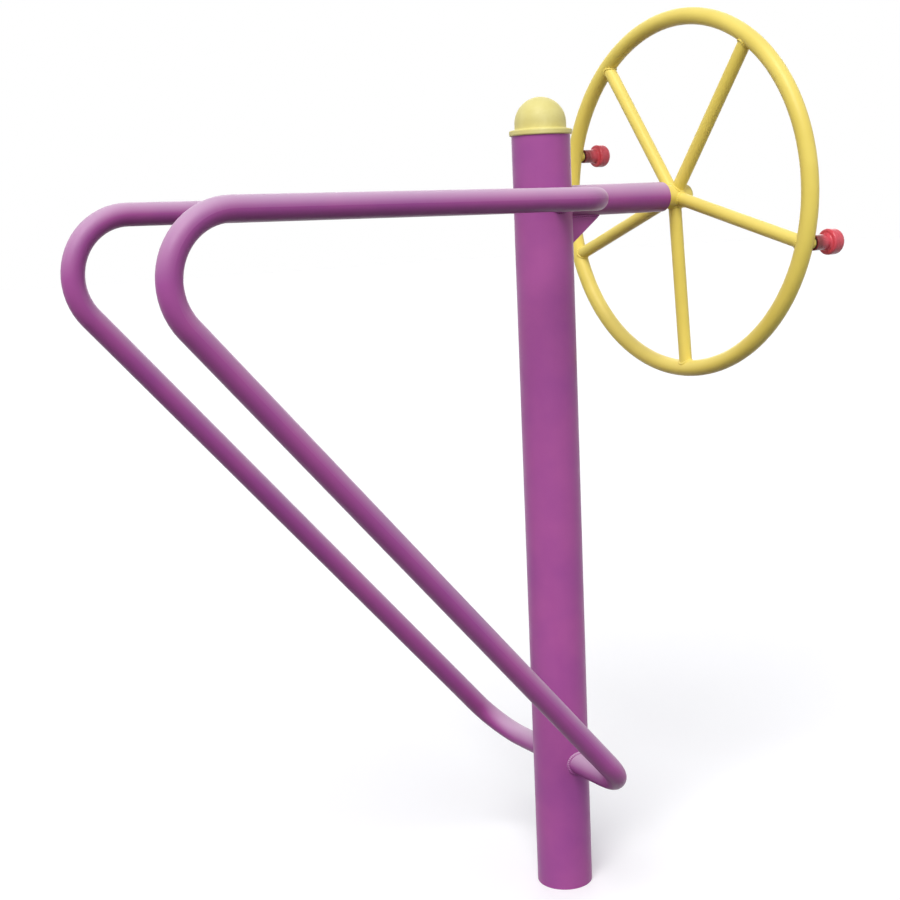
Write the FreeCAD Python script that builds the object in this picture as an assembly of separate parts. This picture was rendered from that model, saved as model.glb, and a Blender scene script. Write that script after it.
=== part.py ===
import FreeCAD, Part
import math
import os
from FreeCAD import Vector

# Combined dip bar and shoulder wheel station on one post.
# Millimetres. Z is up, the ground is Z = 0, the post's axis is X = Y = 0.
# The wheel is on the +X side, the dip bars reach towards -X.

# Clearances
SEAT_FIT = 0.02          # radial room of a piece pressed or pushed into its seat
RUN_FIT = 0.05           # radial room of a piece that turns on another
END_PLAY = 0.25          # axial room of a piece that turns between two faces
SEAL_GAP = 0.3           # room between a bearing seal and the inner ring

# Post and its cap
POST_OD = 114.3
POST_WALL = 4.5
POST_H = 1536.0
CAP_OVERHANG = 3.9       # how far the cap's brim stands out over the post
CAP_BRIM_H = 11.0
CAP_BRIM_ROUND = 3.0
CAP_DOME_INSET = 11.0    # from the brim's edge in to the foot of the dome
CAP_FOOT_H = 12.0        # straight foot of the dome
CAP_FOOT_ROUND = 3.0     # between the brim and the foot
CAP_WALL = 3.0
CAP_SKIRT_H = 35.0
CAP_SKIRT_TAPER = 2.0

# Dip bars
BAR_OD = 42.4
BAR_WALL = 3.2
BAR_DROP = 126.0         # from the post's end down to the top legs' centre line at the post
BAR_RISE = 0.75          # degrees, of the top leg from the post up to the main bend
BAR_SPACING = 444.0      # between the centre lines
BAR_REACH = 1003.0       # from the post's axis to the crossing of top leg and brace
BRACE_ANGLE = 48.94      # degrees, of the brace below the level
BEND_R = 108.0           # of the main bend, on the centre line
END_BEND_R = 85.0        # of the inward bends, on the centre line

# Arm
ARM_OD = 60.3
ARM_WALL = 3.6
ARM_DROP = 127.0         # from the post's end down to the arm's axis
ARM_REACH = 305.0        # from the post's axis to the arm's end
GUSSET_T = 8.0
GUSSET_ALONG_ARM = 77.0
GUSSET_ALONG_POST = 58.0
GUSSET_NOSE = 4.0        # width left at the gusset's two tips
END_PLATE_T = 12.0

# Hub and axle
HUB_OD = 48.3
HUB_LEN = 62.0
HUB_GAP = 3.0            # between the arm's end and the hub
HUB_TO_SPOKES = 33.0     # from the hub's inner end to the middle of the spokes' roots
HUB_LAND_D = 37.0        # bore between the bearing seats
HUB_EDGE = 1.0
IN_RECESS = 4.0          # from the hub's inner end to the first bearing
OUT_RECESS = 14.0        # from the second bearing to the hub's outer end
AXLE_ROOT_D = 22.0       # where the axle passes the end plate
AXLE_COLLAR_D = 26.0
AXLE_TAIL = 8.0          # behind the end plate
SPACER_OD = 25.0
AXLE_WASHER_OD = 26.0
AXLE_WASHER_T = 3.0
AXLE_NUT_AF = 30.0
AXLE_NUT_H = 10.0
THREAD_RUNOUT = 2.0      # thread left in front of a nut
NUT_FACE_SHARE = 0.95    # of a nut's end face, of the width across its flats
NUT_BEVEL_ANGLE = 30.0   # of the bevel at a nut's corners
HUB_CAP_INSET = 1.0      # from the hub's edge in to the cap's edge
HUB_CAP_FLANGE = 2.5
HUB_CAP_DOME_H = 3.0
HUB_CAP_WALL = 2.5
HUB_CAP_SKIRT = 9.0
HUB_CAP_LEAD = 1.0       # bevel that leads the skirt into the hub

# Ball bearings, two alike
BRG_BORE = 20.0
BRG_OD = 42.0
BRG_W = 12.0
BRG_INNER_SHOULDER_D = 26.6
BRG_OUTER_SHOULDER_D = 35.6
BALL_D = 6.35
BALL_CIRCLE_D = 31.0
BALL_COUNT = 9
CAGE_T = 1.8
CAGE_W = 7.8
SEAL_T = 1.2
SEAL_INSET = 0.4

# Wheel
WHEEL_D = 719.0          # over the centre line of the rim
WHEEL_DISH = 14.0        # from the spokes' roots out to the plane of the rim
RIM_OD = 33.7
RIM_WALL = 2.6
SPOKE_OD = 26.9
SPOKE_WALL = 2.6
SPOKE_COUNT = 5
WHEEL_TURN = 196.0       # first spoke and first knob, from +Y towards +Z
VENT_D = 8.0             # vent hole in the rim inside each spoke

# Knobs on the rim
STUD_D = 12.0
BOSS_D = 22.0            # boss on the rim that the stud stands in
BOSS_H = 3.0
STUD_EDGE = 1.0
KNOB_WASHER_OD = 24.0
KNOB_WASHER_T = 2.0
KNOB_NUT_AF = 18.0
KNOB_NUT_H = 10.0
KNOB_NECK_D = 30.0
KNOB_NECK_ROUND = 4.0    # between the neck and the head
KNOB_NECK_EDGE = 1.0
KNOB_HEAD_D = 50.0
KNOB_HEAD_AT = 36.0      # from the knob's inner end to the back of its head
KNOB_HEAD_L = 30.0
KNOB_BACK_ROUND = 5.0
KNOB_FRONT_ROUND = 11.0
KNOB_RECESS_D = 25.0
KNOB_RECESS_L = 17.0
KNOB_PLUG_CROWN = 2.5

# Values that follow
POST_R = POST_OD / 2
POST_BORE_R = POST_R - POST_WALL
BAR_Z = POST_H - BAR_DROP
BAR_BEND_Z = BAR_Z + BAR_REACH * math.tan(math.radians(BAR_RISE))
BAR_FOOT_Z = BAR_BEND_Z - BAR_REACH * math.tan(math.radians(BRACE_ANGLE))
ARM_Z = POST_H - ARM_DROP
ARM_R = ARM_OD / 2
ARM_BORE_R = ARM_R - ARM_WALL
HUB_R = HUB_OD / 2
HUB_X0 = ARM_REACH + HUB_GAP
HUB_X1 = HUB_X0 + HUB_LEN
SPOKE_X = HUB_X0 + HUB_TO_SPOKES
WHEEL_X = SPOKE_X + WHEEL_DISH
WHEEL_R = WHEEL_D / 2
RIM_R = RIM_OD / 2
BRG_IN_X = HUB_X0 + IN_RECESS
BRG_OUT_X = HUB_X1 - OUT_RECESS - BRG_W
BRG_SEAT_R = BRG_OD / 2 + SEAT_FIT
AXLE_R = BRG_BORE / 2 - SEAT_FIT
AXLE_WASHER_X = BRG_OUT_X + BRG_W
AXLE_NUT_X = AXLE_WASHER_X + AXLE_WASHER_T
AXLE_END_X = AXLE_NUT_X + AXLE_NUT_H + THREAD_RUNOUT
STUD_R = STUD_D / 2
BOSS_X = WHEEL_X + RIM_R + BOSS_H
KNOB_X = BOSS_X + KNOB_WASHER_T + END_PLAY
KNOB_HEAD_X = KNOB_X + KNOB_HEAD_AT
KNOB_FRONT_X = KNOB_HEAD_X + KNOB_HEAD_L
KNOB_SEAT_X = KNOB_FRONT_X - KNOB_RECESS_L
KNOB_NUT_X = KNOB_SEAT_X + END_PLAY + KNOB_WASHER_T
STUD_END_X = KNOB_NUT_X + KNOB_NUT_H + THREAD_RUNOUT / 2

X_AXIS = Vector(1, 0, 0)


def rod_x(radius, x0, x1, y=0.0, z=ARM_Z):
    return Part.makeCylinder(radius, x1 - x0, Vector(x0, y, z), X_AXIS)


def ring_x(r_in, r_out, x0, x1, y=0.0, z=ARM_Z):
    return rod_x(r_out, x0, x1, y, z).cut(rod_x(r_in, x0 - 1, x1 + 1, y, z))


def bevelled_rod_x(radius, x0, x1, bevel, y=0.0, z=ARM_Z):
    body = rod_x(radius, x0, x1, y, z)
    ends = [e for e in body.Edges if e.Closed and abs(e.Length - 2 * math.pi * radius) < 1e-3]
    return body.makeChamfer(bevel, ends)


def revolve_x(steps, y=0.0, z=ARM_Z):
    """Solid of revolution about a line along X. A step is (x, r), or (x, r, x_mid, r_mid) for an arc to it."""
    edges = []
    last = steps[-1]
    for step in steps:
        a = Vector(last[0], last[1], 0)
        b = Vector(step[0], step[1], 0)
        if len(step) == 4:
            edges.append(Part.Arc(a, Vector(step[2], step[3], 0), b).toShape())
        elif (b - a).Length > 1e-9:
            edges.append(Part.makeLine(a, b))
        last = step
    face = Part.Face(Part.Wire(edges))
    solid = face.revolve(Vector(0, 0, 0), X_AXIS, 360)
    solid.translate(Vector(0, y, z))
    return solid


def hex_nut_x(flats, x0, height, bore_r, y=0.0, z=ARM_Z):
    corner = flats / math.sqrt(3)
    points = []
    for k in range(7):
        a = math.radians(60 * k + 30)
        points.append(Vector(x0, y + corner * math.cos(a), z + corner * math.sin(a)))
    prism = Part.Face(Part.makePolygon(points)).extrude(Vector(height, 0, 0))
    face_r = NUT_FACE_SHARE * flats / 2
    outer_r = corner + 1
    bevel = (outer_r - face_r) * math.tan(math.radians(NUT_BEVEL_ANGLE))
    crown = revolve_x([(x0, 0), (x0, face_r), (x0 + bevel, outer_r), (x0 + height - bevel, outer_r),
                       (x0 + height, face_r), (x0 + height, 0)], y, z)
    return prism.common(crown).cut(rod_x(bore_r, x0 - 1, x0 + height + 1, y, z))


def crown_step(x, r, height):
    """Step onto the axis along a spherical crown that stands on a circle of radius r at x."""
    ball = (r * r + height * height) / (2 * height)
    half = math.atan2(r, ball - height) / 2
    return (x + height, 0, x + height - ball + ball * math.cos(half), ball * math.sin(half))


def corner_step(x0, r0, x1, r1, centre_x, centre_r):
    """Step along a round about the given centre."""
    way = Vector((x0 + x1) / 2 - centre_x, (r0 + r1) / 2 - centre_r, 0).normalize()
    radius = math.hypot(x0 - centre_x, r0 - centre_r)
    return (x1, r1, centre_x + way.x * radius, centre_r + way.y * radius)


def rounded_path(corners, radii):
    """Wire of straight runs with a tangent arc of the given radius at each inner corner."""
    edges = []
    start = corners[0]
    for k in range(1, len(corners) - 1):
        to_last = (corners[k - 1] - corners[k]).normalize()
        to_next = (corners[k + 1] - corners[k]).normalize()
        half = to_last.getAngle(to_next) / 2
        tangent = radii[k - 1] / math.tan(half)
        toward = (to_last + to_next).normalize()
        centre = corners[k] + toward * (radii[k - 1] / math.sin(half))
        arc_start = corners[k] + to_last * tangent
        arc_end = corners[k] + to_next * tangent
        arc_mid = centre - toward * radii[k - 1]
        edges.append(Part.makeLine(start, arc_start))
        edges.append(Part.Arc(arc_start, arc_mid, arc_end).toShape())
        start = arc_end
    edges.append(Part.makeLine(start, corners[-1]))
    return Part.Wire(edges)


def swept_rod(path, radius):
    first = path.Edges[0]
    start = first.valueAt(first.FirstParameter)
    heading = first.tangentAt(first.FirstParameter)
    circle = Part.Wire(Part.makeCircle(radius, start, heading))
    return path.makePipeShell([circle], True, False)


def save(shape, node):
    shape.exportStep("parts/" + node + ".step")


os.makedirs("parts", exist_ok=True)

# Post
post_outside = Part.makeCylinder(POST_R, POST_H)
post = post_outside.cut(Part.makeCylinder(POST_BORE_R, POST_H))
save(post, "post")

# Post cap: brim on the post's end, hollow dome on a straight foot above, skirt down into the bore
brim_r = POST_R + CAP_OVERHANG
dome_r = brim_r - CAP_DOME_INSET
dome_bore_r = dome_r - CAP_WALL
skirt_r = POST_BORE_R - SEAT_FIT
skirt_bore_r = skirt_r - CAP_WALL
skirt_z = POST_H - CAP_SKIRT_H
brim_z = POST_H + CAP_BRIM_H
low_round_z = POST_H + CAP_BRIM_ROUND
high_round_z = brim_z - CAP_BRIM_ROUND
round_r = brim_r - CAP_BRIM_ROUND
foot_z = brim_z + CAP_FOOT_ROUND
foot_r = dome_r + CAP_FOOT_ROUND
dome_z = brim_z + CAP_FOOT_H
step_z = brim_z - CAP_WALL
cap = revolve_x([(skirt_z, skirt_bore_r), (skirt_z, skirt_r - CAP_SKIRT_TAPER),
                 (skirt_z + 2 * CAP_SKIRT_TAPER, skirt_r), (POST_H, skirt_r), (POST_H, round_r),
                 corner_step(POST_H, round_r, low_round_z, brim_r, low_round_z, round_r),
                 (high_round_z, brim_r),
                 corner_step(high_round_z, brim_r, brim_z, round_r, high_round_z, round_r), (brim_z, foot_r),
                 corner_step(brim_z, foot_r, foot_z, dome_r, foot_z, foot_r), (dome_z, dome_r),
                 corner_step(dome_z, dome_r, dome_z + dome_r, 0, dome_z, 0), (dome_z + dome_bore_r, 0),
                 corner_step(dome_z + dome_bore_r, 0, dome_z, dome_bore_r, dome_z, 0), (step_z, dome_bore_r),
                 (step_z, skirt_bore_r)], 0.0, 0.0)
cap.rotate(Vector(0, 0, 0), Vector(0, 1, 0), -90)
save(cap, "post_cap")

# Dip bars: top leg, main bend and brace lie in one upright plane, both ends turn in to the post
for node, side in (("dip_bar_right", -1), ("dip_bar_left", 1)):
    bar_y = side * BAR_SPACING / 2
    corners = [Vector(0, 0, BAR_Z), Vector(0, bar_y, BAR_Z), Vector(-BAR_REACH, bar_y, BAR_BEND_Z),
               Vector(0, bar_y, BAR_FOOT_Z), Vector(0, 0, BAR_FOOT_Z)]
    path = rounded_path(corners, [END_BEND_R, BEND_R, END_BEND_R])
    bar = swept_rod(path, BAR_OD / 2).cut(swept_rod(path, BAR_OD / 2 - BAR_WALL))
    save(bar.cut(post_outside), node)

# Arm with its gusset and end plate
arm_outside = rod_x(ARM_R, 0, ARM_REACH)
arm = arm_outside.cut(rod_x(ARM_BORE_R, -1, ARM_REACH + 1)).cut(post_outside)
save(arm, "arm_tube")

gusset_top = ARM_Z - ARM_R
gusset_points = [Vector(0, 0, ARM_Z), Vector(POST_R + GUSSET_ALONG_ARM, 0, ARM_Z),
                 Vector(POST_R + GUSSET_ALONG_ARM, 0, gusset_top - GUSSET_NOSE),
                 Vector(POST_R + GUSSET_NOSE, 0, gusset_top - GUSSET_ALONG_POST),
                 Vector(0, 0, gusset_top - GUSSET_ALONG_POST), Vector(0, 0, ARM_Z)]
gusset = Part.Face(Part.makePolygon(gusset_points)).extrude(Vector(0, GUSSET_T, 0))
gusset.translate(Vector(0, -GUSSET_T / 2, 0))
save(gusset.cut(post_outside).cut(arm_outside), "arm_gusset")

end_plate = ring_x(AXLE_ROOT_D / 2 + SEAT_FIT, ARM_BORE_R - SEAT_FIT, ARM_REACH - END_PLATE_T, ARM_REACH)
save(end_plate, "arm_end_plate")

# Axle with the parts that clamp the inner rings on it
tail_x = ARM_REACH - END_PLATE_T - AXLE_TAIL
axle = revolve_x([(tail_x, 0), (tail_x, AXLE_ROOT_D / 2), (ARM_REACH, AXLE_ROOT_D / 2),
                  (ARM_REACH, AXLE_COLLAR_D / 2), (BRG_IN_X, AXLE_COLLAR_D / 2), (BRG_IN_X, AXLE_R),
                  (AXLE_END_X - THREAD_RUNOUT / 2, AXLE_R), (AXLE_END_X, AXLE_R - THREAD_RUNOUT / 2),
                  (AXLE_END_X, 0)])
save(axle, "axle")
save(ring_x(BRG_BORE / 2, SPACER_OD / 2, BRG_IN_X + BRG_W, BRG_OUT_X), "bearing_spacer")
save(ring_x(BRG_BORE / 2, AXLE_WASHER_OD / 2, AXLE_WASHER_X, AXLE_WASHER_X + AXLE_WASHER_T), "axle_washer")
save(hex_nut_x(AXLE_NUT_AF, AXLE_NUT_X, AXLE_NUT_H, BRG_BORE / 2), "axle_nut")

# Ball bearings: inner ring stands with the axle, outer ring and seals turn with the hub
race_r = BALL_D / 2 + RUN_FIT
ball_r = BALL_CIRCLE_D / 2
for name, x0 in (("bearing_in", BRG_IN_X), ("bearing_out", BRG_OUT_X)):
    x_mid = x0 + BRG_W / 2
    x1 = x0 + BRG_W
    groove = Part.makeTorus(ball_r, race_r, Vector(x_mid, 0, ARM_Z), X_AXIS)
    inner = ring_x(BRG_BORE / 2, BRG_INNER_SHOULDER_D / 2, x0, x1).cut(groove)
    outer = ring_x(BRG_OUTER_SHOULDER_D / 2, BRG_OD / 2, x0, x1).cut(groove)
    save(inner, name + "_inner_ring")
    save(outer, name + "_outer_ring")
    seal_in_r = BRG_INNER_SHOULDER_D / 2 + SEAL_GAP
    seal_out_r = BRG_OUTER_SHOULDER_D / 2 - SEAT_FIT
    seals = [ring_x(seal_in_r, seal_out_r, x0 + SEAL_INSET, x0 + SEAL_INSET + SEAL_T),
             ring_x(seal_in_r, seal_out_r, x1 - SEAL_INSET - SEAL_T, x1 - SEAL_INSET)]
    save(Part.makeCompound(seals), name + "_seals")
    cage = ring_x(ball_r - CAGE_T / 2, ball_r + CAGE_T / 2, x_mid - CAGE_W / 2, x_mid + CAGE_W / 2)
    balls = []
    for k in range(BALL_COUNT):
        a = 2 * math.pi * k / BALL_COUNT
        place = Vector(x_mid, ball_r * math.cos(a), ARM_Z + ball_r * math.sin(a))
        balls.append(Part.makeSphere(BALL_D / 2, place))
        cage = cage.cut(Part.makeSphere(BALL_D / 2 + RUN_FIT, place))
    save(Part.makeCompound(balls), name + "_balls")
    save(cage, name + "_cage")

# Hub shell with two bearing seats and a land between them, and the cap in its outer end
hub = bevelled_rod_x(HUB_R, HUB_X0, HUB_X1, HUB_EDGE)
hub = hub.cut(rod_x(HUB_LAND_D / 2, HUB_X0 - 1, HUB_X1 + 1))
hub = hub.cut(rod_x(BRG_SEAT_R, HUB_X0 - 1, BRG_IN_X + BRG_W))
hub = hub.cut(rod_x(BRG_SEAT_R, BRG_OUT_X, HUB_X1 + 1))
save(hub, "hub_shell")

cap_edge_r = HUB_R - HUB_CAP_INSET
plug_r = BRG_OD / 2 - SEAT_FIT
plug_bore_r = plug_r - HUB_CAP_WALL
flange_x = HUB_X1 + HUB_CAP_FLANGE
crown_x = flange_x + HUB_CAP_DOME_H
hollow_x = crown_x - HUB_CAP_WALL
cap_bore = crown_step(flange_x, plug_bore_r, hollow_x - flange_x)
skirt_x = HUB_X1 - HUB_CAP_SKIRT
hub_cap = revolve_x([(skirt_x, plug_bore_r), (skirt_x, plug_r - HUB_CAP_LEAD),
                     (skirt_x + 2 * HUB_CAP_LEAD, plug_r), (HUB_X1, plug_r), (HUB_X1, cap_edge_r),
                     (flange_x, cap_edge_r), crown_step(flange_x, cap_edge_r, HUB_CAP_DOME_H),
                     (hollow_x, 0), (flange_x, plug_bore_r, cap_bore[2], cap_bore[3])])
save(hub_cap, "hub_cap")

# Wheel: tube ring and coped spokes that stand out to it, vented into the spokes
wheel_centre = Vector(WHEEL_X, 0, ARM_Z)
rim_outside = Part.makeTorus(WHEEL_R, RIM_R, wheel_centre, X_AXIS)
rim = rim_outside.cut(Part.makeTorus(WHEEL_R, RIM_R - RIM_WALL, wheel_centre, X_AXIS))
hub_outside = rod_x(HUB_R, HUB_X0, HUB_X1)
spoke_root = Vector(SPOKE_X, 0, ARM_Z)


def around(angle):
    a = math.radians(angle)
    return Vector(0, math.cos(a), math.sin(a))


for k in range(SPOKE_COUNT):
    out = around(WHEEL_TURN + 360.0 * k / SPOKE_COUNT)
    tip = wheel_centre + out * WHEEL_R
    along = (tip - spoke_root).normalize()
    length = (tip - spoke_root).Length
    spoke = Part.makeCylinder(SPOKE_OD / 2, length, spoke_root, along)
    spoke = spoke.cut(Part.makeCylinder(SPOKE_OD / 2 - SPOKE_WALL, length, spoke_root, along))
    save(spoke.cut(hub_outside).cut(rim_outside), "spoke_" + str(k + 1))
    rim = rim.cut(Part.makeCylinder(VENT_D / 2, RIM_OD, tip - along * RIM_OD, along))

# Knobs: boss on the rim, stud in it, turning knob with a rounded drum as its head, washers, nut and plug
for letter, turn in (("a", WHEEL_TURN), ("b", WHEEL_TURN + 180.0)):
    at = wheel_centre + around(turn) * WHEEL_R
    y = at.y
    z = at.z
    rim = rim.cut(rod_x(STUD_R + SEAT_FIT, WHEEL_X, WHEEL_X + RIM_OD, y, z))
    boss = ring_x(STUD_R + SEAT_FIT, BOSS_D / 2, WHEEL_X, BOSS_X, y, z).cut(rim_outside)
    save(boss, "knob_boss_" + letter)
    save(bevelled_rod_x(STUD_R, WHEEL_X, STUD_END_X, STUD_EDGE, y, z), "knob_stud_" + letter)
    bore_r = STUD_R + RUN_FIT
    washer_r = KNOB_WASHER_OD / 2
    washers = [ring_x(STUD_R + SEAT_FIT, washer_r, BOSS_X, BOSS_X + KNOB_WASHER_T, y, z),
               ring_x(STUD_R + SEAT_FIT, washer_r, KNOB_SEAT_X + END_PLAY, KNOB_NUT_X, y, z)]
    save(Part.makeCompound(washers), "knob_washers_" + letter)
    save(hex_nut_x(KNOB_NUT_AF, KNOB_NUT_X, KNOB_NUT_H, STUD_R + SEAT_FIT, y, z), "knob_nut_" + letter)
    neck_r = KNOB_NECK_D / 2
    head_r = KNOB_HEAD_D / 2
    recess_r = KNOB_RECESS_D / 2
    root_x = KNOB_HEAD_X - KNOB_NECK_ROUND
    root_r = neck_r + KNOB_NECK_ROUND
    back_x = KNOB_HEAD_X + KNOB_BACK_ROUND
    back_r = head_r - KNOB_BACK_ROUND
    front_x = KNOB_FRONT_X - KNOB_FRONT_ROUND
    front_r = head_r - KNOB_FRONT_ROUND
    knob = revolve_x([(KNOB_X, bore_r), (KNOB_X, neck_r - KNOB_NECK_EDGE), (KNOB_X + KNOB_NECK_EDGE, neck_r),
                      (root_x, neck_r), corner_step(root_x, neck_r, KNOB_HEAD_X, root_r, root_x, root_r),
                      (KNOB_HEAD_X, back_r), corner_step(KNOB_HEAD_X, back_r, back_x, head_r, back_x, back_r),
                      (front_x, head_r),
                      corner_step(front_x, head_r, KNOB_FRONT_X, front_r, front_x, front_r),
                      (KNOB_FRONT_X, recess_r), (KNOB_SEAT_X, recess_r), (KNOB_SEAT_X, bore_r)], y, z)
    save(knob, "knob_" + letter)
    plug_x = STUD_END_X + END_PLAY
    plug_r = recess_r - SEAT_FIT
    plug = revolve_x([(plug_x, 0), (plug_x, plug_r), (KNOB_FRONT_X, plug_r),
                      crown_step(KNOB_FRONT_X, plug_r, KNOB_PLUG_CROWN)], y, z)
    save(plug, "knob_plug_" + letter)
save(rim, "wheel_rim")
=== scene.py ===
import math
import bpy
from mathutils import Matrix, Vector


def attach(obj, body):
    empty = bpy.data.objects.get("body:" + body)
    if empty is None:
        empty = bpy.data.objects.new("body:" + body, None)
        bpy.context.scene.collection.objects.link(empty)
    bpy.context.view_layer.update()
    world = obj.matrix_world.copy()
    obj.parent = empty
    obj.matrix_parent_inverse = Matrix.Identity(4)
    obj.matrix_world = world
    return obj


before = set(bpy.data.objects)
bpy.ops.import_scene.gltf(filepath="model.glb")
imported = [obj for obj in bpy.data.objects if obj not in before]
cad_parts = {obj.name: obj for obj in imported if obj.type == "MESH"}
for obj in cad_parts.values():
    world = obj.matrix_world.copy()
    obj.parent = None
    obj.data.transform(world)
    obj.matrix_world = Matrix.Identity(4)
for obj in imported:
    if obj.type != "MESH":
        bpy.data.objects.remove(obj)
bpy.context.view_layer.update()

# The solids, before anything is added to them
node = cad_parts

MM = 0.001

# Sizes of the pieces that the welds join, in millimetres
POST_R = 57.15
BAR_R = 21.2
BAR_TOP_Z = 1410.0
BAR_LOW_Z = 271.6
ARM_R = 30.15
ARM_Z = 1409.0
GUSSET_T = 8.0
GUSSET_ALONG_ARM = 77.0
GUSSET_ALONG_POST = 58.0
HUB_R = 24.15
SPOKE_R = 13.45
SPOKE_COUNT = 5
SPOKE_ROOT_X = 341.0     # nearer the arm than the rim
WHEEL_X = 355.0
WHEEL_R = 359.5          # to the rim's centre line
WHEEL_TURN = 196.0       # where the first spoke and the first boss stand, in degrees
RIM_R = 16.85
BOSS_R = 11.0

# Welds, in millimetres
RIPPLE = 3.6             # from one ripple of a weld to the next
RIPPLE_POINTS = 6
FEWEST_RIPPLES = 8
HEAVY_BEAD = 4.0         # half the width of a weld on the post
LIGHT_BEAD = 2.6         # half the width of a weld on the wheel and on the gusset
BOSS_BEAD = 1.5
BEAD_WAIST = 0.84        # share of its width that a bead has between ripples
BEAD_CROWN = 0.2         # share of its width that a ripple adds
BEAD_ROUNDING = 3        # Blender's steps round a bead's section
BEAD_MERGE = 0.01        # points closer than this are one
CLEAR = 25.0             # from a seam to where its ring is first drawn
SEAM_CUTS = 90           # cuts in each side of the gusset's seam
HAIR = 1.0               # play when an edge is chosen by its place

# Powder coat
TONE_DRIFT = 160         # millimetres, a hand's width
PEEL = 7                 # millimetres; the real peel is 2 to 3, too fine for the picture
PEEL_DEPTH = 0.4         # millimetres
RUBBED_PATCH = 45        # millimetres
SHELTERED_CHALK_AND_SHEEN = 0.02   # pale chalking and painted sheen on faces that don't look up
CHALK_DULLS = 0.3        # roughness that full chalk adds
FULL_SHADE_BELOW = -0.8       # Z of the normal at which a face's painted underside shade is full

# Moulded plastic and rubber
MOULD_DEPTH = 0.2        # millimetres
# Painted shade on the knobs' necks, in the recess between head and rim
SHADE_WANDER = 8         # millimetres by which the edge of the painted shade on the knobs' necks wanders
SHADE_COVER = 0.75
KNOB_SHADE_FULL_X = 390       # millimetres, at the root of the knobs' necks, where their painted shade is full
KNOB_SHADE_NONE_X = 404       # millimetres, where the painted shade on the necks ends
SEAL_GRAIN = 0.8         # millimetres
SEAL_DEPTH = 0.1         # millimetres

# Camera, fitted to the outlines in the photograph
CAMERA_AT = Vector((-1.680726, -2.236352, 1.405915))
CAMERA_YAW = math.radians(32.774)
CAMERA_PITCH = math.radians(-9.728)
CAMERA_ROLL = math.radians(-2.59)
FOCAL_PX = 1410.497
IMAGE_PX = 900
SENSOR_MM = 36.0
CAMERA_REACH = 200       # metres

# Floor, backdrop and the light from round about
FLOOR_SIZE = 60          # metres
FLOOR_Z = -0.0004        # metres, just clear of the post's foot
FLOOR_GLOW = 0.23        # lifts the lit floor to the backdrop's white
BACKDROP_WHITE = 1.0
DOME_AT_HORIZON = 1.38
DOME_TOP = 0.85          # height, of 1, at which the dome has faded out
DOME_TINT = (0.97, 0.97, 1.07, 1)
WHITE = (1, 1, 1, 1)


def linear(hex_code):
    """Linear colour of an sRGB hex value such as #A05096."""
    parts = [int(hex_code[k:k + 2], 16) / 255 for k in (1, 3, 5)]
    return [c / 12.92 if c <= 0.04045 else ((c + 0.055) / 1.055) ** 2.4 for c in parts] + [1.0]


def add(tree, kind, links=None, stops=(), **settings):
    """Adds a node with its settings, a ramp's stops, and a link or a value for each input."""
    made = tree.nodes.new(kind)
    for name, value in settings.items():
        setattr(made, name, value)
    for k, (position, colour) in enumerate(stops):
        made.color_ramp.elements[k].position = position
        made.color_ramp.elements[k].color = linear(colour)
    for name, source in (links or {}).items():
        if isinstance(source, bpy.types.NodeSocket):
            tree.links.new(source, made.inputs[name])
        else:
            made.inputs[name].default_value = source
    return made


def new_material(name):
    """Empty material and its node tree."""
    finish = bpy.data.materials.new(name)
    finish.use_nodes = True
    finish.node_tree.nodes.clear()
    return finish, finish.node_tree


def per_metre(size_mm):
    """Scale of a pattern whose features are this many millimetres across."""
    return 1 / (size_mm * MM)


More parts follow.
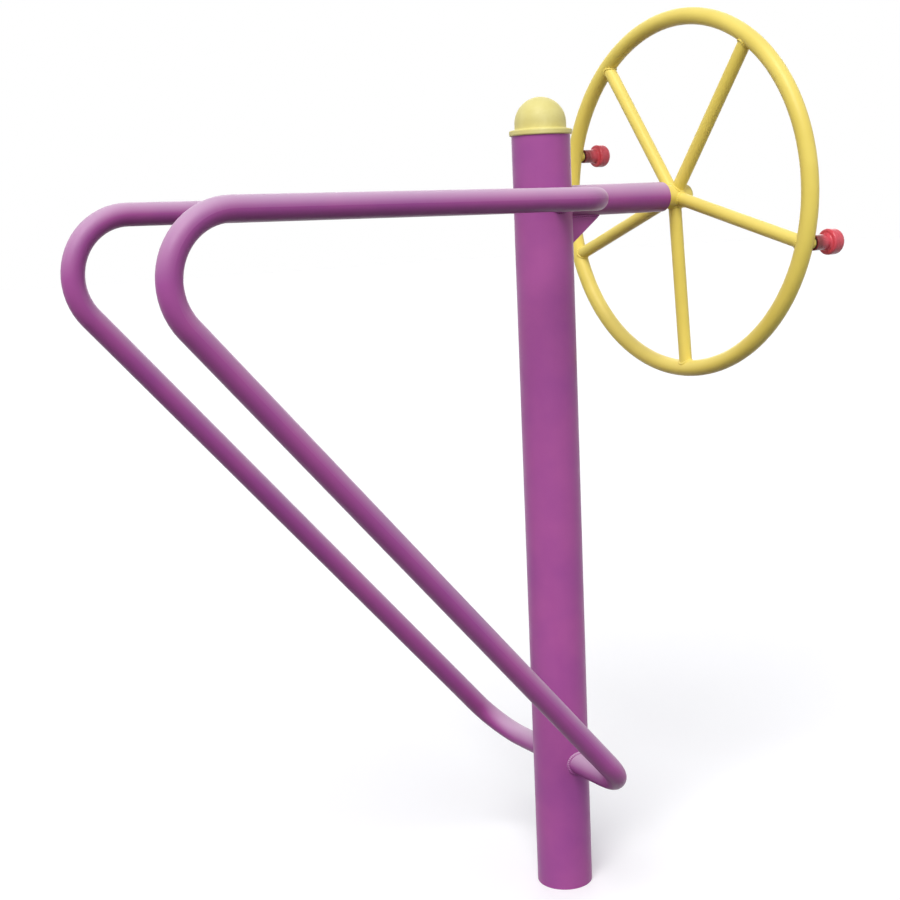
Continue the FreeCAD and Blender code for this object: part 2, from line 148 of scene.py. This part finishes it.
def powder_coat(name, main, deep, faded_and_sheen, painted_underside_shade, roughness, top_chalk_and_sheen):
    """Baked polyester powder on steel: an even satin skin with a soft orange peel, so broad smooth
    highlights and a tone that drifts a little over a hand's width. Faces to the sky are painted pale
    and dull, partly chalking from the sun and partly painted sheen, and faces to the ground are painted
    darker, as painted shade."""
    finish, tree = new_material(name)
    place = add(tree, "ShaderNodeTexCoord")
    drift = add(tree, "ShaderNodeTexNoise", {"Vector": place.outputs["Object"],
                                             "Scale": per_metre(TONE_DRIFT),
                                             "Detail": 3.0, "Roughness": 0.55})
    tone = add(tree, "ShaderNodeValToRGB", {"Fac": drift.outputs["Fac"]}, stops=((0.3, deep), (0.62, main)))
    facing = add(tree, "ShaderNodeSeparateXYZ", {"Vector": place.outputs["Normal"]})
    # Faces that look up are painted paler and duller: partly chalking from the sun, partly painted sheen
    chalk_and_sheen = add(tree, "ShaderNodeMapRange", {"Value": facing.outputs["Z"], "From Min": 0.0, "From Max": 1.0,
                                             "To Min": SHELTERED_CHALK_AND_SHEEN, "To Max": top_chalk_and_sheen})
    bleached_and_sheen = add(tree, "ShaderNodeMix", {"Factor": chalk_and_sheen.outputs["Result"], "A": tone.outputs["Color"],
                                           "B": linear(faded_and_sheen)}, data_type="RGBA")
    # Faces that look down are painted darker: painted shade on the undersides
    underside_shade_mask = add(tree, "ShaderNodeMapRange", {"Value": facing.outputs["Z"], "From Min": 0.0,
                                             "From Max": FULL_SHADE_BELOW, "To Min": 0.0, "To Max": 1.0})
    colour = add(tree, "ShaderNodeMix", {"Factor": underside_shade_mask.outputs["Result"], "A": bleached_and_sheen.outputs["Result"],
                                         "B": linear(painted_underside_shade)}, data_type="RGBA")
    peel = add(tree, "ShaderNodeTexNoise", {"Vector": place.outputs["Object"], "Scale": per_metre(PEEL),
                                            "Detail": 1.0, "Roughness": 0.4})
    skin = add(tree, "ShaderNodeBump", {"Height": peel.outputs["Fac"], "Strength": 0.35,
                                        "Distance": PEEL_DEPTH * MM})
    rub = add(tree, "ShaderNodeTexNoise", {"Vector": place.outputs["Object"],
                                           "Scale": per_metre(RUBBED_PATCH),
                                           "Detail": 4.0, "Roughness": 0.65})
    gloss = add(tree, "ShaderNodeMapRange", {"Value": rub.outputs["Fac"], "From Min": 0.3, "From Max": 0.7,
                                             "To Min": roughness - 0.06, "To Max": roughness + 0.08})
    dulled = add(tree, "ShaderNodeMath", {0: chalk_and_sheen.outputs["Result"], 1: CHALK_DULLS,
                                          2: gloss.outputs["Result"]}, operation="MULTIPLY_ADD")
    shader = add(tree, "ShaderNodeBsdfPrincipled", {"Base Color": colour.outputs["Result"],
                                                    "Roughness": dulled.outputs[0],
                                                    "Normal": skin.outputs["Normal"], "IOR": 1.5,
                                                    "Specular IOR Level": 0.25})
    add(tree, "ShaderNodeOutputMaterial", {"Surface": shader.outputs["BSDF"]})
    return finish


def moulded_plastic(name, main, pale, roughness, cloud_mm, grain_mm, grain, neck_shade=None):
    """Injection moulded plastic, coloured right through: a faint cloudiness from the melt and a fine mould
    grain. From one X to another it can be darkened with painted shade."""
    finish, tree = new_material(name)
    place = add(tree, "ShaderNodeTexCoord")
    cloud = add(tree, "ShaderNodeTexNoise", {"Vector": place.outputs["Object"], "Scale": per_metre(cloud_mm),
                                             "Detail": 3.0, "Roughness": 0.6, "Distortion": 0.6})
    tone = add(tree, "ShaderNodeValToRGB", {"Fac": cloud.outputs["Fac"]}, stops=((0.35, main), (0.75, pale)))
    mould = add(tree, "ShaderNodeTexNoise", {"Vector": place.outputs["Object"], "Scale": per_metre(grain_mm),
                                             "Detail": 2.0})
    skin = add(tree, "ShaderNodeBump", {"Height": mould.outputs["Fac"], "Strength": grain,
                                        "Distance": MOULD_DEPTH * MM})
    rub = add(tree, "ShaderNodeMapRange", {"Value": cloud.outputs["Fac"], "From Min": 0.3, "From Max": 0.7,
                                           "To Min": roughness - 0.05, "To Max": roughness + 0.07})
    colour = tone.outputs["Color"]
    # Painted shade: the colour is darkened, fully at one X and not at all past another
    if neck_shade:
        shade_full_x, shade_none_x, shade_colour = neck_shade
        along = add(tree, "ShaderNodeSeparateXYZ", {"Vector": place.outputs["Object"]})
        uneven = add(tree, "ShaderNodeMath", {0: cloud.outputs["Fac"], 1: SHADE_WANDER * MM,
                                              2: along.outputs["X"]}, operation="MULTIPLY_ADD")
        neck_shade_mask = add(tree, "ShaderNodeMapRange", {"Value": uneven.outputs[0],
                                                "From Min": shade_full_x * MM, "From Max": shade_none_x * MM,
                                                "To Min": SHADE_COVER, "To Max": 0.0})
        neck_shaded = add(tree, "ShaderNodeMix", {"Factor": neck_shade_mask.outputs["Result"], "A": colour,
                                              "B": linear(shade_colour)}, data_type="RGBA")
        colour = neck_shaded.outputs["Result"]
    shader = add(tree, "ShaderNodeBsdfPrincipled", {"Base Color": colour, "Roughness": rub.outputs["Result"],
                                                    "Normal": skin.outputs["Normal"], "IOR": 1.52,
                                                    "Specular IOR Level": 0.35})
    add(tree, "ShaderNodeOutputMaterial", {"Surface": shader.outputs["BSDF"]})
    return finish


def plain_metal(name, bright, dull, roughness, spangle_mm):
    """Bare or plated steel: a metal whose tone and gloss change a little from spangle to spangle."""
    finish, tree = new_material(name)
    place = add(tree, "ShaderNodeTexCoord")
    spangle = add(tree, "ShaderNodeTexNoise", {"Vector": place.outputs["Object"],
                                               "Scale": per_metre(spangle_mm),
                                               "Detail": 4.0, "Roughness": 0.6})
    tone = add(tree, "ShaderNodeValToRGB", {"Fac": spangle.outputs["Fac"]},
               stops=((0.35, dull), (0.65, bright)))
    gloss = add(tree, "ShaderNodeMapRange", {"Value": spangle.outputs["Fac"],
                                             "From Min": 0.3, "From Max": 0.7,
                                             "To Min": roughness + 0.08, "To Max": roughness - 0.05})
    shader = add(tree, "ShaderNodeBsdfPrincipled", {"Base Color": tone.outputs["Color"], "Metallic": 1.0,
                                                    "Roughness": gloss.outputs["Result"]})
    add(tree, "ShaderNodeOutputMaterial", {"Surface": shader.outputs["BSDF"]})
    return finish


def seal_rubber(name):
    """Nitrile rubber: matt black with a fine moulded grain."""
    finish, tree = new_material(name)
    place = add(tree, "ShaderNodeTexCoord")
    grain = add(tree, "ShaderNodeTexNoise", {"Vector": place.outputs["Object"],
                                             "Scale": per_metre(SEAL_GRAIN), "Detail": 2.0})
    tone = add(tree, "ShaderNodeValToRGB", {"Fac": grain.outputs["Fac"]},
               stops=((0.0, "#17171A"), (1.0, "#2A2A2D")))
    skin = add(tree, "ShaderNodeBump", {"Height": grain.outputs["Fac"], "Strength": 0.3,
                                        "Distance": SEAL_DEPTH * MM})
    shader = add(tree, "ShaderNodeBsdfPrincipled", {"Base Color": tone.outputs["Color"], "Roughness": 0.7,
                                                    "Normal": skin.outputs["Normal"]})
    add(tree, "ShaderNodeOutputMaterial", {"Surface": shader.outputs["BSDF"]})
    return finish


def seen_rays(tree):
    """Gives 1 for rays that show the backdrop, straight, in a gloss or through glass, and 0 for the rest."""
    ray = add(tree, "ShaderNodeLightPath")
    shown = add(tree, "ShaderNodeMath", {0: ray.outputs["Is Camera Ray"], 1: ray.outputs["Is Glossy Ray"]},
                operation="MAXIMUM")
    seen = add(tree, "ShaderNodeMath", {0: shown.outputs[0], 1: ray.outputs["Is Transmission Ray"]},
               operation="MAXIMUM")
    return seen.outputs[0]


def floor_paint(name):
    """Matt white paint: it shows white with the object's shadow, and throws little light back up."""
    finish, tree = new_material(name)
    seen = seen_rays(tree)
    pale = add(tree, "ShaderNodeMix", {"Factor": seen, "A": linear("#3F3F3F"), "B": linear("#E7E7E7")},
               data_type="RGBA")
    glow = add(tree, "ShaderNodeMath", {0: seen, 1: FLOOR_GLOW}, operation="MULTIPLY")
    matt = add(tree, "ShaderNodeBsdfDiffuse", {"Color": pale.outputs["Result"]})
    lit = add(tree, "ShaderNodeEmission", {"Strength": glow.outputs[0]})
    both = add(tree, "ShaderNodeAddShader", {0: matt.outputs[0], 1: lit.outputs[0]})
    add(tree, "ShaderNodeOutputMaterial", {"Surface": both.outputs[0]})
    return finish


finishes = {
    # Purple coat: its paler tops are partly chalking and partly painted sheen, and its undersides get
    # painted shade
    "purple_coat": powder_coat("purple_powder_coat", main="#AB5097", deep="#9C4692", faded_and_sheen="#E0D2DE",
                               painted_underside_shade="#8E3F7E", roughness=0.36, top_chalk_and_sheen=0.6),
    # The wheel turns, so the sun has paled its coat almost evenly: its tops get little chalking and painted
    # sheen, and its undersides no painted shade
    "yellow_coat": powder_coat("yellow_powder_coat", main="#F1DA64", deep="#E8D058", faded_and_sheen="#F2EBCA",
                               painted_underside_shade="#F1DA64", roughness=0.36, top_chalk_and_sheen=0.15),
    "yellow_plastic": moulded_plastic("yellow_polyethylene", main="#DACE7C", pale="#E2D88E", roughness=0.5,
                                      cloud_mm=40, grain_mm=2.5, grain=0.12),
    # The knobs' necks are painted darker near the rim: painted shade where the head shades its neck
    "red_plastic": moulded_plastic("red_nylon", main="#D04350", pale="#D85662", roughness=0.25,
                                   cloud_mm=30, grain_mm=2.0, grain=0.05,
                                   neck_shade=(KNOB_SHADE_FULL_X, KNOB_SHADE_NONE_X, "#5A2418")),
    "zinc_steel": plain_metal("zinc_plated_steel", bright="#C4C7CB", dull="#A4A8AE",
                              roughness=0.36, spangle_mm=4),
    "bearing_steel": plain_metal("ground_bearing_steel", bright="#CFD1D3", dull="#BFC2C5",
                                 roughness=0.16, spangle_mm=2),
    "black_nylon": moulded_plastic("black_nylon", main="#1E1D1F", pale="#2A292C", roughness=0.45,
                                   cloud_mm=10, grain_mm=1.2, grain=0.2),
    "seal_rubber": seal_rubber("nitrile_rubber"),
}

for piece in node.values():
    slot_name = piece.data.materials[0].name.split(".")[0]
    piece.data.materials[0] = finishes[slot_name]


def lay_bead(name, half_width, body, slot_name):
    """Makes the chosen closed line a weld bead with a ripple every few millimetres."""
    bpy.ops.object.convert(target="CURVE")
    bead = bpy.context.object
    bead.data.bevel_depth = half_width * MM
    bead.data.bevel_resolution = BEAD_ROUNDING
    for k, point in enumerate(bead.data.splines[0].points):
        rise = math.sin(math.pi * (k % RIPPLE_POINTS) / RIPPLE_POINTS)
        point.radius = BEAD_WAIST + BEAD_CROWN * rise
    bpy.ops.object.convert(target="MESH")
    bead = bpy.context.object
    bpy.ops.object.mode_set(mode="EDIT")
    bpy.ops.mesh.select_all(action="SELECT")
    bpy.ops.mesh.remove_doubles(threshold=BEAD_MERGE * MM)
    bpy.ops.mesh.normals_make_consistent(inside=False)
    bpy.ops.object.mode_set(mode="OBJECT")
    bpy.ops.object.shade_smooth()
    bead.name = name
    bead.data.materials.clear()
    bead.data.materials.append(finishes[slot_name])
    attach(bead, body)


def weld_round(name, at, away, radius, onto, half_width, body, slot_name):
    """Weld where a round piece stands on another: a ring drawn round it at a point (in millimetres), laid
    down against the way it points away."""
    count = max(FEWEST_RIPPLES, round(2 * math.pi * radius / RIPPLE)) * RIPPLE_POINTS
    bpy.ops.object.select_all(action="DESELECT")
    bpy.ops.mesh.primitive_circle_add(vertices=count, radius=radius * MM, location=Vector(at) * MM,
                                      rotation=Vector(away).to_track_quat("Z", "Y").to_euler())
    ring = bpy.context.object
    laid = ring.modifiers.new("laid", "SHRINKWRAP")
    laid.target = node[onto]
    laid.wrap_method = "PROJECT"
    laid.use_project_z = True
    laid.use_positive_direction = False
    laid.use_negative_direction = True
    bpy.ops.object.modifier_apply(modifier="laid")
    bpy.ops.object.transform_apply(location=True, rotation=True, scale=True)
    lay_bead(name, half_width, body, slot_name)


# Bars and arm to post
for side_name, side in (("right", -1), ("left", 1)):
    for end_name, z in (("top", BAR_TOP_Z), ("low", BAR_LOW_Z)):
        weld_round("weld_bar_" + side_name + "_" + end_name, (0, side * (POST_R + CLEAR), z), (0, side, 0),
                   BAR_R, "post", HEAVY_BEAD, "frame", "purple_coat")
weld_round("weld_arm", (POST_R + CLEAR, 0, ARM_Z), (1, 0, 0),
           ARM_R, "post", HEAVY_BEAD, "frame", "purple_coat")

# Gusset to arm and post: a strip under the arm is drawn down along the post, and its outline is the seam
at_post = (POST_R + HAIR) * MM
at_arm = (ARM_Z - ARM_R - HAIR) * MM
bpy.ops.object.select_all(action="DESELECT")
bpy.ops.mesh.primitive_plane_add(size=1)
strip = bpy.context.object
strip.scale = (GUSSET_ALONG_ARM * MM, GUSSET_T * MM, 1)
strip.location = Vector((POST_R + GUSSET_ALONG_ARM / 2, 0, ARM_Z - ARM_R)) * MM
bpy.ops.object.transform_apply(location=True, rotation=True, scale=True)
bpy.ops.object.mode_set(mode="EDIT")
bpy.ops.mesh.select_mode(type="EDGE")
bpy.ops.mesh.select_all(action="DESELECT")
bpy.ops.object.mode_set(mode="OBJECT")
for edge in strip.data.edges:
    ends = [strip.data.vertices[k].co for k in edge.vertices]
    edge.select = all(e.x < at_post for e in ends)
bpy.ops.object.mode_set(mode="EDIT")
bpy.ops.mesh.extrude_edges_move(TRANSFORM_OT_translate={"value": (0, 0, -GUSSET_ALONG_POST * MM)})
bpy.ops.mesh.select_all(action="SELECT")
bpy.ops.mesh.delete(type="ONLY_FACE")
bpy.ops.object.mode_set(mode="OBJECT")
# The edge in the corner, between the two legs of the seam, goes
for edge in strip.data.edges:
    ends = [strip.data.vertices[k].co for k in edge.vertices]
    edge.select = all(e.x < at_post and e.z > at_arm for e in ends)
bpy.ops.object.mode_set(mode="EDIT")
bpy.ops.mesh.delete(type="EDGE")
bpy.ops.mesh.select_all(action="SELECT")
bpy.ops.mesh.subdivide(number_cuts=SEAM_CUTS)
bpy.ops.object.mode_set(mode="OBJECT")
lay_bead("weld_gusset", LIGHT_BEAD, "frame", "purple_coat")

# Wheel: spokes to hub and rim, bosses to rim
spoke_root = Vector((SPOKE_ROOT_X, 0, ARM_Z))
wheel_centre = Vector((WHEEL_X, 0, ARM_Z))


def on_rim(turn):
    """Point on the rim's centre line at an angle of the wheel."""
    a = math.radians(WHEEL_TURN + turn)
    return wheel_centre + Vector((0, math.cos(a), math.sin(a))) * WHEEL_R


for k in range(SPOKE_COUNT):
    tip = on_rim(360 * k / SPOKE_COUNT)
    along = (tip - spoke_root).normalized()
    weld_round("weld_spoke_root_" + str(k + 1), spoke_root + along * (HUB_R + CLEAR), along, SPOKE_R,
               "hub_shell", LIGHT_BEAD, "wheel", "yellow_coat")
    weld_round("weld_spoke_tip_" + str(k + 1), tip - along * (RIM_R + CLEAR), -along, SPOKE_R,
               "wheel_rim", LIGHT_BEAD, "wheel", "yellow_coat")
for letter, turn in (("a", 0), ("b", 180)):
    weld_round("weld_boss_" + letter, on_rim(turn) + Vector((RIM_R + CLEAR, 0, 0)), (1, 0, 0), BOSS_R,
               "wheel_rim", BOSS_BEAD, "wheel", "yellow_coat")

# Camera
bpy.ops.object.select_all(action="DESELECT")
bpy.ops.object.camera_add()
camera = bpy.context.object
camera.name = "camera"
forward = Vector((math.sin(CAMERA_YAW) * math.cos(CAMERA_PITCH),
                  math.cos(CAMERA_YAW) * math.cos(CAMERA_PITCH),
                  math.sin(CAMERA_PITCH)))
level = Vector((math.cos(CAMERA_YAW), -math.sin(CAMERA_YAW), 0))
upright = level.cross(forward)
right = level * math.cos(CAMERA_ROLL) + upright * math.sin(CAMERA_ROLL)
up = upright * math.cos(CAMERA_ROLL) - level * math.sin(CAMERA_ROLL)
camera_turn = Matrix((right, up, -forward)).transposed().to_4x4()
camera.matrix_world = Matrix.Translation(CAMERA_AT) @ camera_turn
camera.data.sensor_width = SENSOR_MM
camera.data.lens = FOCAL_PX * SENSOR_MM / IMAGE_PX
camera.data.clip_end = CAMERA_REACH
bpy.context.scene.camera = camera

# Floor
bpy.ops.object.select_all(action="DESELECT")
bpy.ops.mesh.primitive_plane_add(size=FLOOR_SIZE, location=(0, 0, FLOOR_Z))
floor = bpy.context.object
floor.name = "floor"
floor.data.materials.append(floor_paint("white_floor_paint"))

# Backdrop, and a dome of light that is strongest at the horizon
world = bpy.data.worlds.new("studio")
bpy.context.scene.world = world
world.use_nodes = True
tree = world.node_tree
tree.nodes.clear()
seen = seen_rays(tree)
way = add(tree, "ShaderNodeTexCoord")
height = add(tree, "ShaderNodeSeparateXYZ", {"Vector": way.outputs["Generated"]})
dome = add(tree, "ShaderNodeMapRange", {"Value": height.outputs["Z"], "From Min": 0.0, "From Max": DOME_TOP,
                                        "To Min": DOME_AT_HORIZON, "To Max": 0.0})
strength = add(tree, "ShaderNodeMix", {"Factor": seen, "A": dome.outputs["Result"], "B": BACKDROP_WHITE},
               data_type="FLOAT")
# The dome is a little cooler than the lamps, so shaded sides lean to violet
tint = add(tree, "ShaderNodeMix", {"Factor": seen, "A": DOME_TINT, "B": WHITE}, data_type="RGBA")
backdrop = add(tree, "ShaderNodeBackground", {"Color": tint.outputs["Result"],
                                              "Strength": strength.outputs["Result"]})
add(tree, "ShaderNodeOutputWorld", {"Surface": backdrop.outputs[0]})


def sun_lamp(name, at, way, power, spread):
    """Soft sun lamp that shines along a way, with its spread in degrees."""
    bpy.ops.object.select_all(action="DESELECT")
    bpy.ops.object.light_add(type="SUN", location=at)
    lamp = bpy.context.object
    lamp.name = name
    lamp.rotation_euler = Vector(way).to_track_quat("-Z", "Y").to_euler()
    lamp.data.energy = power
    lamp.data.angle = math.radians(spread)


# The key lamp shines from above, a little left of the camera, and a weak low lamp behind lifts the far sides
sun_lamp("key_light", at=(-2, -3, 4), way=(0.48, 0.43, -0.766), power=2.6, spread=35)
sun_lamp("fill_light", at=(2, 3, 1.5), way=(-0.6, -0.75, -0.27), power=0.9, spread=50)

bpy.context.scene.view_settings.view_transform = "Standard"
